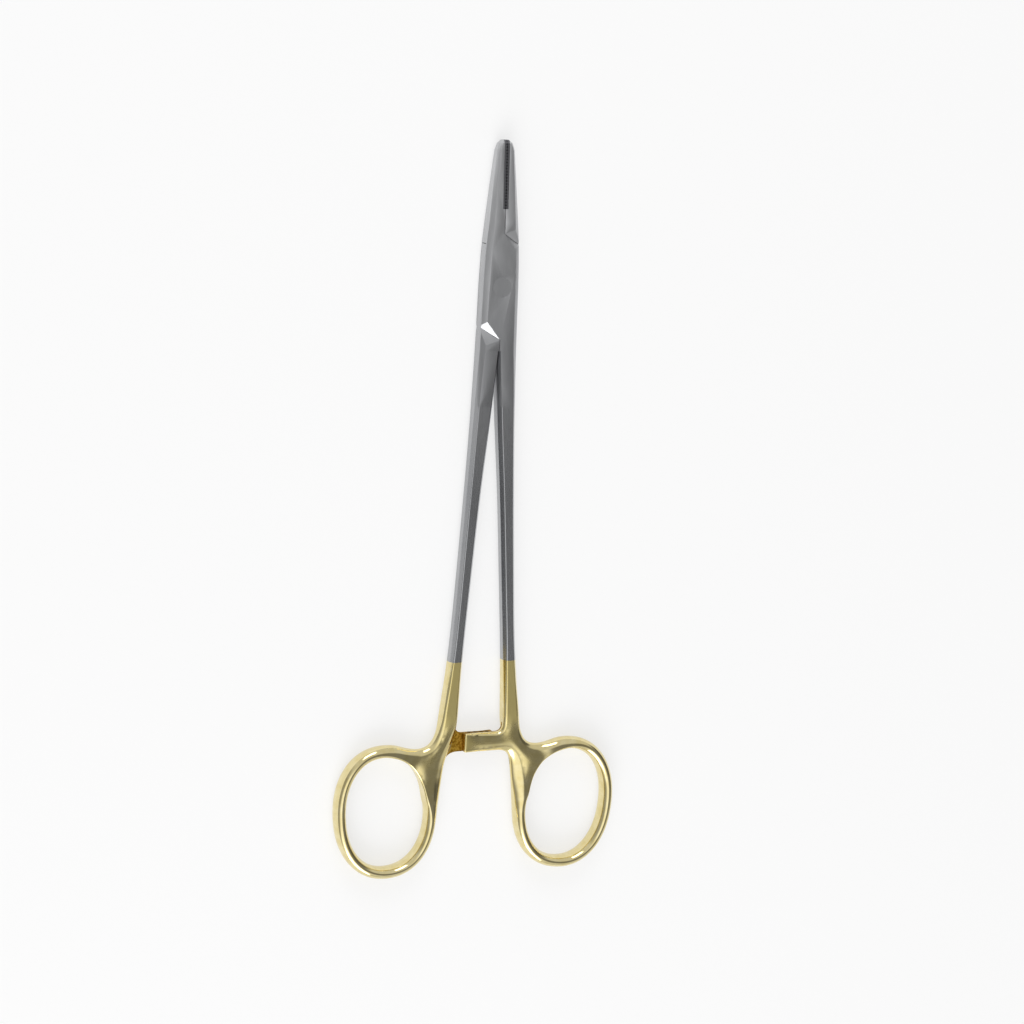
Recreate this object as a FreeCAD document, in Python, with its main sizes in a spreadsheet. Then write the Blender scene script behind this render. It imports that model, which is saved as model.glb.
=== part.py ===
import FreeCAD, Part
import os
import Sketcher

os.makedirs("parts", exist_ok=True)
V = FreeCAD.Vector
doc = FreeCAD.newDocument("NeedleHolder")

# Lengths in millimetres. Y runs along the closed jaws toward the tips, X to the right, Z up.
# The rivet's axis is X = Y = 0, and the bodies are drawn about the mid-plane of the forging.
SIZES = {
    # overall and box lock
    "body_thickness": 6.0,
    "seam_gap": 0.12,
    "lock_seam_y": 14.1,
    "lock_side_y": 11.2,
    "lock_side_x": 4.75,
    "shoulder_gap": 0.05,
    "slot_height": 2.9,
    "slot_clearance": 0.05,
    "slot_radius": 12.3,
    "tongue_end_clearance": 0.15,
    "reach": 9.0,
    "overrun": 2.0,
    # V shaped relief along both slanted joints
    "relief_depth": 2.1,
    "relief_inner": 4.6,
    "relief_outer": 6.8,
    "relief_side_x": 7.0,
    "relief_start": 0.1,
    "relief_overrun": 0.5,
    # rivet
    "rivet_radius": 2.0,
    "rivet_head_radius": 2.7,
    "rivet_head_depth": 0.7,
    "rivet_clearance": 0.05,
    "rivet_seat_gap": 0.01,
    # sections from the shank root to the jaw tip: place, half width, thickness, bevel across
    "root_y": -17.0, "root_half": 5.2, "root_thick": 6.0, "root_bevel": 1.2,
    "box_low_y": -8.0, "box_low_half": 5.08, "box_low_thick": 6.0, "box_low_bevel": 1.25,
    "box_top_y": 8.0, "box_top_half": 4.75, "box_top_thick": 6.0, "box_top_bevel": 1.35,
    "jaw_root_y": 17.0, "jaw_root_half": 4.08, "jaw_root_thick": 6.0, "jaw_root_bevel": 1.15,
    "jaw_mid_y": 26.5, "jaw_mid_half": 3.3, "jaw_mid_thick": 5.1, "jaw_mid_bevel": 0.9,
    "jaw_end_y": 36.0, "jaw_end_half": 2.5, "jaw_end_thick": 4.1, "jaw_end_bevel": 0.7,
    "dome_y": 37.8, "dome_half": 1.95, "dome_thick": 3.6, "dome_bevel": 0.65,
    "tip_y": 38.7, "tip_half": 1.0, "tip_thick": 2.5, "tip_bevel": 0.4,
    "box_bevel_depth": 1.15,
    "jaw_bevel_depth": 1.1,
    # carbide inserts and their grip pattern
    "insert_thickness": 0.75,
    "insert_start_y": 20.6,
    "insert_gap": 0.04,
    "grip_pitch": 0.8,
    "grip_depth": 0.22,
    "grip_half_mouth": 0.27,
    # shank sections: place, centre, width, thickness, bevel across
    "shank_root_centre": 2.63, "shank_root_width": 5.14,
    "shank_neck_y": -32.0, "shank_neck_centre": 3.3, "shank_neck_width": 5.0, "shank_neck_thick": 5.3,
    "shank_upper_y": -52.0, "shank_upper_centre": 4.58, "shank_upper_width": 4.25, "shank_upper_thick": 4.8,
    "shank_mid_y": -78.0, "shank_mid_centre": 6.2, "shank_mid_width": 3.75, "shank_mid_thick": 4.6,
    "shank_lower_y": -103.0, "shank_lower_centre": 7.87, "shank_lower_width": 3.8, "shank_lower_thick": 4.6,
    "shank_end_y": -120.0, "shank_end_centre": 9.25, "shank_end_width": 5.0, "shank_end_thick": 4.6,
    "shank_root_bevel": 0.35,
    "shank_bevel": 0.85,
    "shank_bevel_depth": 1.3,
    # finger rings
    "ring_medial_x": 11.3,
    "ring_top_y": -124.3,
    "ring_half_width": 13.1,
    "ring_half_length": 16.85,
    "ring_end_radius": 11.0,
    "wire_half_width": 1.65,
    "wire_end_radius": 1.3,
    # web between shank and ring
    "web_thickness": 4.6,
    "web_edge_radius": 0.7,
    "web_top_y": -116.0,
    "web_shank_inset": 0.3,
    "web_neck_x": 11.4,
    "web_neck_y": -117.8,
    "web_sweep_radius": 7.1,
    "web_ring_outset": 0.6,
    "web_ring_inset": 1.3,
    "web_ring_reach": 11.1,
    "web_medial_x": 9.5,
    "web_medial_y": -131.3,
    "web_ring_radius": 18.2,
    "web_foot_inset": 0.9,
    "web_foot_y": -146.0,
    "web_foot_outset": 0.3,
    # ratchet
    "arm_end_x": 4.5,
    "arm_top_y": -121.6,
    "arm_bottom_y": -126.8,
    "arm_gap": 0.12,
    "arm_face_recess": 0.1,
    "arm_root_inset": 0.45,
    "arm_root_depth": 3.0,
    "arm_shank_inset": 0.2,
    "arm_root_top_y": -119.4,
    "arm_upper_fillet": 2.2,
    "arm_lower_fillet": 4.4,
    "arm_root_x": 4.6,
    "arm_edge_radius": 0.5,
    "tooth_pitch": 1.7,
    "tooth_depth": 0.8,
    "tooth_first_x": 3.9,
}
TEETH = 4

sheet = doc.addObject("Spreadsheet::Sheet", "Sizes")
for row, (name, value) in enumerate(SIZES.items(), start=1):
    sheet.set(f"A{row}", name)
    sheet.set(f"B{row}", str(value))
    sheet.setAlias(f"B{row}", name)
doc.recompute()


class Size:
    """A number together with the expression that gives it in the document."""

    def __init__(self, value, text):
        self.value = float(value)
        self.text = text

    @staticmethod
    def of(item):
        return item if isinstance(item, Size) else Size(item, f"({item})")

    def __add__(self, other):
        other = Size.of(other)
        return Size(self.value + other.value, f"({self.text} + {other.text})")

    def __sub__(self, other):
        other = Size.of(other)
        return Size(self.value - other.value, f"({self.text} - {other.text})")

    def __mul__(self, other):
        other = Size.of(other)
        return Size(self.value * other.value, f"({self.text} * {other.text})")

    def __truediv__(self, other):
        other = Size.of(other)
        return Size(self.value / other.value, f"({self.text} / {other.text})")

    def __neg__(self):
        return Size(-self.value, f"(0 - {self.text})")

    def root(self):
        return Size(self.value ** 0.5, f"sqrt({self.text})")


def s(name):
    return Size(SIZES[name], f"Sizes.{name}")


def bind(obj, prop, size):
    obj.setExpression(prop, Size.of(size).text)


def new_body(name):
    body = doc.addObject("PartDesign::Body", name)
    body.Label = name
    return body


def new_sketch(body, role, offset=None):
    """A sketch on one of the body's own origin planes, moved along the plane's normal."""
    sketch = body.newObject("Sketcher::SketchObject", f"{body.Name}_sketch")
    plane = [f for f in body.Origin.OriginFeatures if f.Role == role][0]
    sketch.AttachmentSupport = [(plane, "")]
    sketch.MapMode = "FlatFace"
    if offset is not None:
        bind(sketch, "AttachmentOffset.Base.z", offset)
    return sketch


def hold(sketch, geo, point, x, y):
    """Fix one point of a sketch element at named distances from the sketch origin."""
    for kind, size in (("DistanceX", Size.of(x)), ("DistanceY", Size.of(y))):
        index = sketch.addConstraint(Sketcher.Constraint(kind, -1, 1, geo, point, size.value))
        bind(sketch, f"Constraints[{index}]", size)


def hold_radius(sketch, geo, radius):
    index = sketch.addConstraint(Sketcher.Constraint("Radius", geo, Size.of(radius).value))
    bind(sketch, f"Constraints[{index}]", radius)


def outline(sketch, corners):
    """Closed outline. A corner is (x, y) for a straight run to the next corner, or
    (x, y, radius, turn) for an arc whose bulge lies right (-1) or left (+1) of the run."""
    count = len(corners)
    for i, corner in enumerate(corners):
        x0, y0 = Size.of(corner[0]).value, Size.of(corner[1]).value
        after = corners[(i + 1) % count]
        x1, y1 = Size.of(after[0]).value, Size.of(after[1]).value
        if len(corner) == 2:
            sketch.addGeometry(Part.LineSegment(V(x0, y0, 0), V(x1, y1, 0)), False)
            continue
        radius, turn = Size.of(corner[2]).value, corner[3]
        half = V(x1 - x0, y1 - y0, 0) * 0.5
        rise = radius - (radius ** 2 - half.Length ** 2) ** 0.5
        side = V(-half.y, half.x, 0).normalize() * (turn * rise)
        middle = V(x0, y0, 0) + half + side
        sketch.addGeometry(Part.Arc(V(x0, y0, 0), middle, V(x1, y1, 0)), False)
    starts, ends = [], []
    for i, corner in enumerate(corners):
        flipped = False
        if len(corner) > 2:
            first = sketch.getPoint(i, 1)
            flipped = (first - V(Size.of(corner[0]).value, Size.of(corner[1]).value, 0)).Length > 1e-4
        starts.append(2 if flipped else 1)
        ends.append(1 if flipped else 2)
    for i, corner in enumerate(corners):
        after = (i + 1) % count
        sketch.addConstraint(Sketcher.Constraint("Coincident", i, ends[i], after, starts[after]))
        hold(sketch, i, starts[i], corner[0], corner[1])
        if len(corner) > 2:
            hold_radius(sketch, i, corner[2])


def oval(sketch, cx, cy, half_width, half_length, end_radius):
    """Four tangent arcs: small ones at the two ends, large ones along the two sides."""
    rise = half_length - end_radius
    side_radius = (half_width * half_width + rise * rise - end_radius * end_radius)
    side_radius = side_radius / ((half_width - end_radius) * 2)
    inset = side_radius - half_width
    reach = (inset.value ** 2 + rise.value ** 2) ** 0.5
    ux, uy = inset.value / reach, rise.value / reach
    touch_x = side_radius.value * ux - inset.value
    touch_y = side_radius.value * uy
    x, y = cx.value, cy.value
    right = V(x + half_width.value, y, 0)
    left = V(x - half_width.value, y, 0)
    top = V(x, y + half_length.value, 0)
    bottom = V(x, y - half_length.value, 0)
    p = [V(x + a * touch_x, y + b * touch_y, 0) for a, b in ((1, -1), (1, 1), (-1, 1), (-1, -1))]
    for i, middle in enumerate((right, top, left, bottom)):
        sketch.addGeometry(Part.Arc(p[i], middle, p[(i + 1) % 4]), False)
    for i in range(4):
        sketch.addConstraint(Sketcher.Constraint("Tangent", i, 2, (i + 1) % 4, 1))
    hold(sketch, 1, 3, cx, cy + rise)
    hold(sketch, 3, 3, cx, cy - rise)
    for i, radius in enumerate((side_radius, end_radius, side_radius, end_radius)):
        hold_radius(sketch, i, radius)


def pad(body, sketch, length, midplane=True):
    feature = body.newObject("PartDesign::Pad", f"{body.Name}_pad")
    feature.Profile = sketch
    bind(feature, "Length", length)
    feature.Midplane = midplane
    body.Tip = feature
    return feature


def section(body, y, left, right, thick, bevels, depth):
    """Eight-sided section across Y. bevels holds the bevel across X at the left and at the right."""
    sketch = new_sketch(body, "XZ_Plane", -y)
    top = thick / 2
    low = top - depth
    outline(sketch, [
        (left + bevels[0], -top), (right - bevels[1], -top), (right, -low), (right, low),
        (right - bevels[1], top), (left + bevels[0], top), (left, low), (left, -low)])
    return sketch


def loft(body, sections, ruled=False, kind="PartDesign::AdditiveLoft"):
    feature = body.newObject(kind, f"{body.Name}_loft")
    feature.Profile = sections[0]
    feature.Sections = sections[1:]
    feature.Ruled = ruled
    body.Tip = feature
    return feature


def full_section(body, name):
    half = s(f"{name}_half")
    bevel = s(f"{name}_bevel")
    depth = s("box_bevel_depth" if name in ("root", "box_low", "box_top", "jaw_root") else "jaw_bevel_depth")
    return section(body, s(f"{name}_y"), -half, half, s(f"{name}_thick"), (bevel, bevel), depth)


def relief(body, turn, face):
    """One V shaped relief: apex where the slanted joint meets the seam, deepest at the box side."""
    profiles = []
    slope = (s("lock_seam_y") - s("lock_side_y")) / s("lock_side_x")
    for x in (s("relief_start"), s("relief_side_x")):
        sketch = new_sketch(body, "YZ_Plane", x * turn)
        share = x / s("relief_side_x")
        joint = (s("lock_seam_y") - slope * x) * turn
        top = s("body_thickness") / 2 * face
        above = s("relief_overrun") * face
        inner = s("relief_inner") * share * turn
        outer = s("relief_outer") * share * turn
        outline(sketch, [(joint, top - s("relief_depth") * share * face),
                         (joint + outer, top), (joint + outer, top + above),
                         (joint - inner, top + above), (joint - inner, top)])
        profiles.append(sketch)
    return loft(body, profiles, ruled=True, kind="PartDesign::SubtractiveLoft")


# The forging in front of the shanks, both halves in one: box, jaws and domed tips.
front = new_body("front_blank")
for names, ruled in (
        (("root", "box_low", "box_top", "jaw_root"), False),
        (("jaw_root", "jaw_mid", "jaw_end"), False),
        (("jaw_end", "dome", "tip"), True)):
    loft(front, [full_section(front, name) for name in names], ruled)
for turn in (1, -1):
    for face in (1, -1):
        relief(front, turn, face)


def lock_slope(x, gap):
    """Height of the slanted joint of the upper end at x, moved up by gap."""
    slope = (s("lock_seam_y") - s("lock_side_y")) / s("lock_side_x")
    return s("lock_seam_y") - slope * x + gap


through = s("body_thickness") + s("overrun")
far = s("tip_y") + s("overrun")
low_end = s("root_y") - s("overrun")
wide = s("reach")
seam = s("seam_gap") / 2

# Plan of the half that carries the box: left jaw, the two cheeks, start of the right shank.
female_plan = new_body("female_plan")
sketch = new_sketch(female_plan, "XY_Plane")
outline(sketch, [
    (-seam, far), (-wide, far), (-wide, -lock_slope(wide, 0)), (seam, -lock_slope(seam, 0)),
    (seam, low_end), (wide, low_end), (wide, lock_slope(wide, 0)), (-seam, lock_slope(-seam, 0))])
pad(female_plan, sketch, through)

# Plan of the half that passes through the box, in front of and behind the cheeks.
male_plan = new_body("male_plan")
gap = s("shoulder_gap")
sketch = new_sketch(male_plan, "XY_Plane")
outline(sketch, [(seam, far), (seam, lock_slope(seam, gap)), (wide, lock_slope(wide, gap)), (wide, far)])
pad(male_plan, sketch, through)
male_plan_low = new_body("male_plan_low")
sketch = new_sketch(male_plan_low, "XY_Plane")
outline(sketch, [(-seam, low_end), (-seam, -lock_slope(seam, gap)), (-wide, -lock_slope(wide, gap)),
                 (-wide, low_end)])
pad(male_plan_low, sketch, through)


def lock_layer(name, height, radius, edge):
    """The layer between the cheeks: a disc about the rivet, open toward one jaw and one shank."""
    body = new_body(name)
    sketch = new_sketch(body, "XY_Plane")
    sketch.addGeometry(Part.Circle(V(0, 0, 0), V(0, 0, 1), radius.value), False)
    sketch.addConstraint(Sketcher.Constraint("Coincident", 0, 3, -1, 1))
    hold_radius(sketch, 0, radius)
    pad(body, sketch, height)
    end = s("lock_seam_y") + s("overrun")
    for side in (1, -1):
        sketch = new_sketch(body, "XY_Plane")
        outline(sketch, [(edge * side, 0), (wide * side, 0), (wide * side, end * side),
                         (edge * side, end * side)])
        pad(body, sketch, height)
    return body


slot = lock_layer("lock_slot", s("slot_height"), s("slot_radius"), -seam)
tongue = lock_layer("tongue_plan", s("slot_height") - s("slot_clearance") * 2,
                    s("slot_radius") - s("tongue_end_clearance"), seam)


def revolved(name, corners):
    """Closed outline in the XZ plane turned once round the rivet axis."""
    body = new_body(name)
    sketch = new_sketch(body, "XZ_Plane")
    outline(sketch, corners)
    feature = body.newObject("PartDesign::Revolution", f"{name}_turn")
    feature.Profile = sketch
    feature.ReferenceAxis = (sketch, ["V_Axis"])
    feature.Angle = 360
    body.Tip = feature
    return body


half_thick = s("body_thickness") / 2


def rivet_form(name, gap):
    """Rivet with a countersunk head at each face of the box, grown by gap all round."""
    neck = half_thick - s("rivet_head_depth")
    head = s("rivet_head_radius") + gap
    shaft = s("rivet_radius") + gap
    return revolved(name, [(0, -half_thick), (head, -half_thick), (shaft, -neck), (shaft, neck),
                           (head, half_thick), (0, half_thick)])


rivet = rivet_form("pivot_pin", Size.of(0))
rivet_seat = rivet_form("rivet_seat", s("rivet_seat_gap"))
bore_radius = s("rivet_radius") + s("rivet_clearance")
bore = revolved("tongue_bore", [(0, -half_thick), (bore_radius, -half_thick), (bore_radius, half_thick),
                                (0, half_thick)])


def insert_bar(name, side):
    """Bar with the cross-cut grip pattern on the face toward the seam, longer than the jaw."""
    body = new_body(name)
    grip = s("insert_gap") * side
    back = s("insert_thickness") * side
    sketch = new_sketch(body, "XY_Plane")
    outline(sketch, [(grip, s("insert_start_y")), (back, s("insert_start_y")), (back, far), (grip, far)])
    pad(body, sketch, through)
    for role, axis, first, span in (
            ("XY_Plane", "Y_Axis", s("insert_start_y") + s("grip_pitch"), s("tip_y") - s("insert_start_y")),
            ("XZ_Plane", "Z_Axis", -half_thick, s("body_thickness"))):
        sketch = new_sketch(body, role)
        mouth = s("grip_half_mouth")
        outline(sketch, [(grip + s("grip_depth") * side, first), (grip, first + mouth),
                         (-grip, first + mouth), (-grip, first - mouth), (grip, first - mouth)])
        cut = body.newObject("PartDesign::Pocket", f"{name}_groove")
        cut.Profile = sketch
        cut.Type = "ThroughAll"
        cut.Midplane = True
        body.Tip = cut
        row = body.newObject("PartDesign::LinearPattern", f"{name}_grooves")
        row.Originals = [cut]
        row.Direction = ([f for f in body.Origin.OriginFeatures if f.Role == axis][0], [""])
        row.Occurrences = int(span.value / SIZES["grip_pitch"])
        bind(row, "Length", s("grip_pitch") * (row.Occurrences - 1))
        body.Tip = row
    return body


def insert_seat(name, side):
    """The room that an insert takes out of its jaw."""
    body = new_body(name)
    sketch = new_sketch(body, "XY_Plane")
    back = s("insert_thickness") * side
    outline(sketch, [(0, s("insert_start_y")), (back, s("insert_start_y")), (back, far), (0, far)])
    pad(body, sketch, through)
    return body


def shank(name, side):
    """Shank of one half, an eight-sided bar that bows and thins toward the handle."""
    body = new_body(name)
    sections = []
    for key in ("root", "neck", "upper", "mid", "lower", "end"):
        y = s("root_y") if key == "root" else s(f"shank_{key}_y")
        thick = s("root_thick") if key == "root" else s(f"shank_{key}_thick")
        depth = s("box_bevel_depth") if key == "root" else s("shank_bevel_depth")
        bevels = [s("shank_root_bevel"), s("root_bevel")] if key == "root" else [s("shank_bevel")] * 2
        centre = s(f"shank_{key}_centre") * side
        half = s(f"shank_{key}_width") / 2
        if side < 0:
            bevels.reverse()
        sections.append(section(body, y, centre - half, centre + half, thick, bevels, depth))
    loft(body, sections)
    return body


ring_x = s("ring_medial_x") + s("wire_half_width") + s("ring_half_width")
ring_y = s("ring_top_y") - s("wire_half_width") - s("ring_half_length")


def ring(name, side):
    """Finger ring: an oval wire section swept round an oval."""
    body = new_body(name)
    path = new_sketch(body, "XY_Plane")
    oval(path, ring_x * side, ring_y, s("ring_half_width"), s("ring_half_length"), s("ring_end_radius"))
    wire = new_sketch(body, "XZ_Plane", -ring_y)
    oval(wire, (ring_x + s("ring_half_width")) * side, Size.of(0), s("wire_half_width"), half_thick,
         s("wire_end_radius"))
    sweep = body.newObject("PartDesign::AdditivePipe", f"{name}_sweep")
    sweep.Profile = wire
    sweep.Spine = path
    body.Tip = sweep
    return body


def rounded(body, feature, heights, radius):
    """Round the edges of the flat faces that lie at the given heights."""
    doc.recompute()
    faces = []
    for i, face in enumerate(feature.Shape.Faces, start=1):
        low, high = face.BoundBox.ZMin, face.BoundBox.ZMax
        if any(max(abs(low - z), abs(high - z)) < 1e-4 for z in heights):
            faces.append(f"Face{i}")
    edge = body.newObject("PartDesign::Fillet", f"{body.Name}_round")
    edge.Base = (feature, faces)
    bind(edge, "Radius", radius)
    body.Tip = edge
    return edge


def web(name, side):
    """Flat web where the shank flares out and runs into its ring."""
    body = new_body(name)
    sketch = new_sketch(body, "XY_Plane")
    crest_y = s("ring_top_y") - s("wire_half_width")
    crest_x = s("ring_medial_x") + s("wire_half_width")
    end_x = s("ring_medial_x") + s("web_ring_reach")
    outline(sketch, [
        (s("web_neck_x") * side, s("web_neck_y"), s("web_sweep_radius"), -side),
        (end_x * side, crest_y + s("web_ring_outset")),
        (end_x * side, crest_y - s("web_ring_inset"), s("web_ring_radius"), -side),
        ((crest_x + s("web_foot_inset")) * side, s("web_foot_y")),
        ((s("ring_medial_x") + s("web_foot_outset")) * side, s("web_foot_y")),
        (s("web_medial_x") * side, s("web_medial_y")),
        ((s("shank_end_centre") - s("shank_end_width") / 2 + s("web_shank_inset")) * side, s("shank_end_y")),
        (s("shank_end_centre") * side, s("web_top_y"))])
    feature = pad(body, sketch, s("web_thickness"))
    top = SIZES["web_thickness"] / 2
    rounded(body, feature, (top, -top), s("web_edge_radius"))
    return body


def arm(name, side):
    """Ratchet arm in its own half of the thickness, with saw teeth toward the mid-plane."""
    body = new_body(name)
    outer = s("web_thickness") / 2 - s("arm_face_recess")
    thick = outer - s("arm_gap") / 2
    middle = (outer + s("arm_gap") / 2) / 2
    sketch = new_sketch(body, "XY_Plane", middle * side)
    root = s("shank_end_centre") - s("shank_end_width") / 2
    foot_y = s("web_medial_y") - s("arm_root_inset")
    outline(sketch, [
        (-s("arm_end_x") * side, s("arm_top_y")),
        (-s("arm_end_x") * side, s("arm_bottom_y")),
        (s("arm_root_x") * side, s("arm_bottom_y"), s("arm_lower_fillet"), side),
        ((s("web_medial_x") + s("arm_root_inset")) * side, foot_y),
        ((s("web_medial_x") + s("arm_root_depth")) * side, foot_y),
        (s("shank_end_centre") * side, s("arm_root_top_y")),
        ((root + s("arm_shank_inset")) * side, s("arm_root_top_y"), s("arm_upper_fillet"), side),
        (s("arm_root_x") * side, s("arm_top_y"))])
    feature = pad(body, sketch, thick)
    rounded(body, feature, (outer.value * side,), s("arm_edge_radius"))
    sketch = new_sketch(body, "XZ_Plane")
    first = -s("tooth_first_x") * side
    last = first + s("tooth_pitch") * side
    face = s("arm_gap") / 2 * side
    outline(sketch, [(first, -face), (first, face), (last, face + s("tooth_depth") * side), (last, -face)])
    cut = body.newObject("PartDesign::Pocket", f"{name}_tooth")
    cut.Profile = sketch
    cut.Type = "ThroughAll"
    cut.Midplane = True
    body.Tip = cut
    row = body.newObject("PartDesign::LinearPattern", f"{name}_teeth")
    row.Originals = [cut]
    row.Direction = ([f for f in body.Origin.OriginFeatures if f.Role == "X_Axis"][0], [""])
    row.Reversed = side < 0
    row.Occurrences = TEETH
    bind(row, "Length", s("tooth_pitch") * (TEETH - 1))
    body.Tip = row
    return body


def combine(kind, name, shapes):
    """Boolean of whole bodies: MultiFuse, MultiCommon or Cut."""
    result = doc.addObject(f"Part::{kind}", name)
    result.Label = name
    if kind == "Cut":
        result.Base, result.Tool = shapes
    else:
        result.Shapes = shapes
    return result


def raise_to_table(node):
    """Lift a finished piece so that the forging's back face lies on the table plane."""
    bind(node, "Placement.Base.z", half_thick)
    return node


nodes = {}
for half, side, plans in (("female", 1, [female_plan]), ("male", -1, [male_plan, male_plan_low, tongue])):
    plan = plans[0] if len(plans) == 1 else combine("MultiFuse", f"{half}_plans", plans)
    forged = combine("MultiCommon", f"{half}_front", [front, plan])
    seat = insert_seat(f"{half}_seat", -side)
    handle = [shank(f"{half}_shank", side), web(f"{half}_web", side), ring(f"{half}_ring", side),
              arm(f"{half}_arm", side)]
    whole = combine("MultiFuse", f"{half}_forging", [forged] + handle)
    cutters = [seat, slot, rivet_seat] if half == "female" else [seat, bore]
    removed = combine("MultiFuse", f"{half}_cutters", cutters)
    nodes[f"{half}_half"] = raise_to_table(combine("Cut", f"{half}_half", (whole, removed)))
    bar = insert_bar(f"{half}_bar", -side)
    nodes[f"{half}_insert"] = raise_to_table(combine("MultiCommon", f"{half}_insert", [front, bar]))
nodes["pivot_pin"] = raise_to_table(rivet)

doc.recompute()
for obj in doc.Objects:
    if "Invalid" in obj.State or "Error" in obj.State:
        raise SystemExit(f"{obj.Name} did not compute: {obj.State}")
for name, obj in nodes.items():
    shape = obj.Shape
    if shape.isNull() or not shape.isValid() or len(shape.Solids) != 1:
        raise SystemExit(f"{name} is not one valid solid, it has {len(shape.Solids)}")
    box = shape.optimalBoundingBox()
    print(f"{name}: {shape.Volume:.1f} mm3, X {box.XMin:.2f}..{box.XMax:.2f}, "
          f"Y {box.YMin:.2f}..{box.YMax:.2f}, Z {box.ZMin:.2f}..{box.ZMax:.2f}")
    shape.exportStep(f"parts/{name}.step")
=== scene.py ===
import math

import bmesh
import bpy
import numpy as np
from mathutils import Matrix, Vector
from mathutils.geometry import delaunay_2d_cdt


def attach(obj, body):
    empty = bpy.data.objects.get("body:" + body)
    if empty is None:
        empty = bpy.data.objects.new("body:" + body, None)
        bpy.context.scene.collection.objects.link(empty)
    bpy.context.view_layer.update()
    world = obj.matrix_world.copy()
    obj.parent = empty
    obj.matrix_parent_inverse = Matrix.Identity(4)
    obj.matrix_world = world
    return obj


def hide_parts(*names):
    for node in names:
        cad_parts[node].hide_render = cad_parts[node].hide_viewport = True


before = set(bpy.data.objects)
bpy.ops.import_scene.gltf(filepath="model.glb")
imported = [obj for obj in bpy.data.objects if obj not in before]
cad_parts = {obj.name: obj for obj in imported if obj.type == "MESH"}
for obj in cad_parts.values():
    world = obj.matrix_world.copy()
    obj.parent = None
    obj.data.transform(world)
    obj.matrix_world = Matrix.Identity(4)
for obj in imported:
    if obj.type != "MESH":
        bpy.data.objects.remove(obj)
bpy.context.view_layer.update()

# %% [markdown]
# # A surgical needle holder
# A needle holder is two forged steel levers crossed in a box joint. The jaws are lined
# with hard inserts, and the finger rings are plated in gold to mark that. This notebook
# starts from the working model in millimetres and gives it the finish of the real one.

MM = 0.001

# %% [markdown]
# ## The view
# The instrument lies flat, and the picture looks down on it from the side of the left
# ring and a little from the tips. The lens is long, so the two shanks hardly converge.

# %% camera
VIEW_LEFT = math.radians(22.528)
VIEW_UP = math.radians(9.234)
CAMERA_ROLL = math.radians(-2.701)
CAMERA_DISTANCE = 768.33 * MM
AIM = np.array([0.0, -55.88, 3.0]) * MM
LENS = 100.46
FOCAL_LENGTH_IN_PIXELS = 2857.5
AIM_RIGHT_OF_CENTRE = -23.22 / FOCAL_LENGTH_IN_PIXELS
AIM_BELOW_CENTRE = -18.27 / FOCAL_LENGTH_IN_PIXELS

toward_camera = np.array(
    [
        -math.sin(VIEW_LEFT) * math.cos(VIEW_UP),
        math.sin(VIEW_UP),
        math.cos(VIEW_LEFT) * math.cos(VIEW_UP),
    ]
)
level_up = np.array([0.0, 1.0, 0.0]) - toward_camera[1] * toward_camera
level_up /= np.linalg.norm(level_up)
level_right = np.cross(level_up, toward_camera)
camera_right = math.cos(CAMERA_ROLL) * level_right - math.sin(CAMERA_ROLL) * level_up
camera_up = math.sin(CAMERA_ROLL) * level_right + math.cos(CAMERA_ROLL) * level_up
camera_place = AIM + CAMERA_DISTANCE * (
    toward_camera - AIM_RIGHT_OF_CENTRE * camera_right + AIM_BELOW_CENTRE * camera_up
)

camera_data = bpy.data.cameras.new("camera")
camera_data.lens = LENS
camera_data.sensor_width = 36
camera_data.clip_start = 0.05
camera_data.clip_end = 20
camera = bpy.data.objects.new("camera", camera_data)
bpy.context.scene.collection.objects.link(camera)
columns = np.eye(4)
columns[:3, 0] = camera_right
columns[:3, 1] = camera_up
columns[:3, 2] = toward_camera
columns[:3, 3] = camera_place
camera.matrix_world = Matrix(columns.tolist())
bpy.context.scene.camera = camera
bpy.context.scene.view_settings.view_transform = "Standard"
print("camera at", np.round(camera_place / MM, 1), "mm")

# %% [markdown]
# ## Helpers for materials
# Every finish is a tree of shader nodes that starts from Object coordinates, so a
# scratch or a brushed line has a real size in millimetres on every piece.


# %% shader helpers
def new_material(name):
    """A material with an empty node tree and a Principled shader joined to its output."""
    material = bpy.data.materials.new(name)
    material.use_nodes = True
    tree = material.node_tree
    shader = tree.nodes["Principled BSDF"]
    return material, tree, shader


def add(tree, kind, **settings):
    """A new shader node of that kind, with its settings or its inputs set by name."""
    node = tree.nodes.new(kind)
    for key, value in settings.items():
        if hasattr(node, key):
            setattr(node, key, value)
        else:
            node.inputs[key.replace("_", " ")].default_value = value
    return node


def feed(tree, socket, value):
    """Joins a node's output to the socket, or sets it to a plain number or a colour."""
    if isinstance(value, bpy.types.NodeSocket):
        tree.links.new(value, socket)
    elif isinstance(value, tuple):
        socket.default_value = (*value, 1)
    else:
        socket.default_value = value


def combined(tree, operation, first, second):
    """The two added, multiplied and so on; each is a number or a node's output."""
    node = add(tree, "ShaderNodeMath", operation=operation)
    feed(tree, node.inputs[0], first)
    feed(tree, node.inputs[1], second)
    return node.outputs[0]


def along_y(tree):
    """Y of the Object coordinate in metres: how far along the instrument a point is."""
    place = add(tree, "ShaderNodeTexCoord")
    apart = add(tree, "ShaderNodeSeparateXYZ")
    tree.links.new(place.outputs["Object"], apart.inputs[0])
    return apart.outputs["Y"]


def place_in_mm(tree, stretch=(1, 1, 1)):
    """The Object coordinate of a point in millimetres, each axis divided by its stretch."""
    where = add(tree, "ShaderNodeTexCoord")
    scaled = add(tree, "ShaderNodeMapping")
    scaled.inputs["Scale"].default_value = [1000 / v for v in stretch]
    tree.links.new(where.outputs["Object"], scaled.inputs["Vector"])
    return scaled.outputs["Vector"]


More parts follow.
